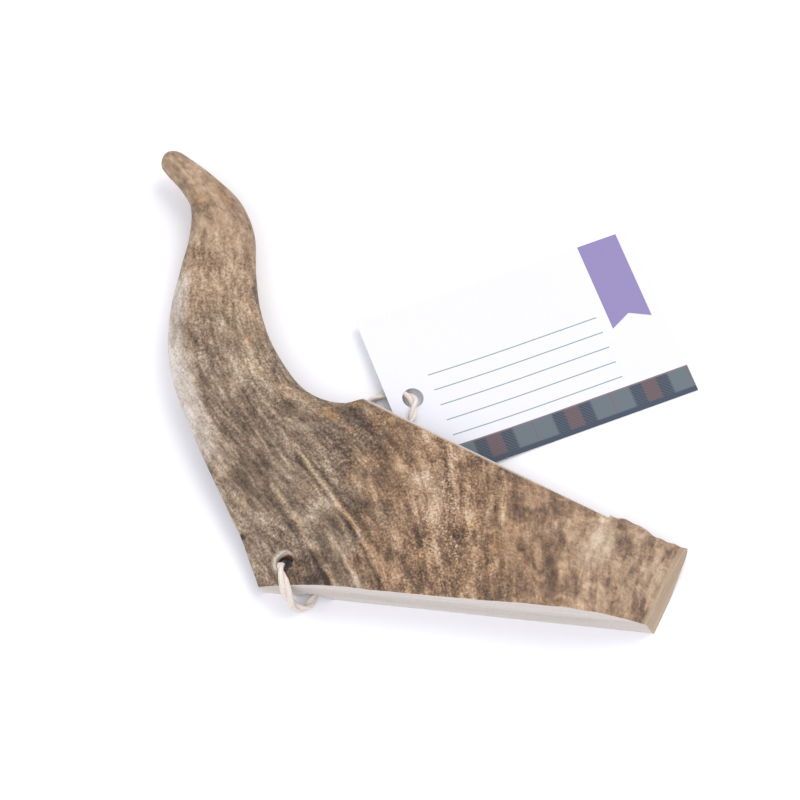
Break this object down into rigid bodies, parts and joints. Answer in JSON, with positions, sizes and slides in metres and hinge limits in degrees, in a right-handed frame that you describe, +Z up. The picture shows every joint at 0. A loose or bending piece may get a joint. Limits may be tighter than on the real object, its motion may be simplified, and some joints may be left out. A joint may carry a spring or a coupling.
{
  "type": "deer antler dog chew",
  "caption": "Sawn piece of fallow deer antler, a tine with part of its palm, lying flat with a swing tag tied through a drilled hole.",
  "frame": {"origin": "on the floor, at the middle of the antler's bounding box in plan", "axes": "X runs to the right along the long sawn edge, Y runs towards the tip of the tine, Z is up from the floor"},
  "size_m": [0.1575, 0.1472, 0.0164],
  "materials": {
    "antler": "dry grown antler, satin to matt, with pale sawn faces",
    "tag": "smooth coated card",
    "string": "undyed cotton twine"
  },
  "bodies": {
    "root": {"antler": "antler", "tag": "tag", "string": "string", "knot": "string"}
  },
  "joints": []
}
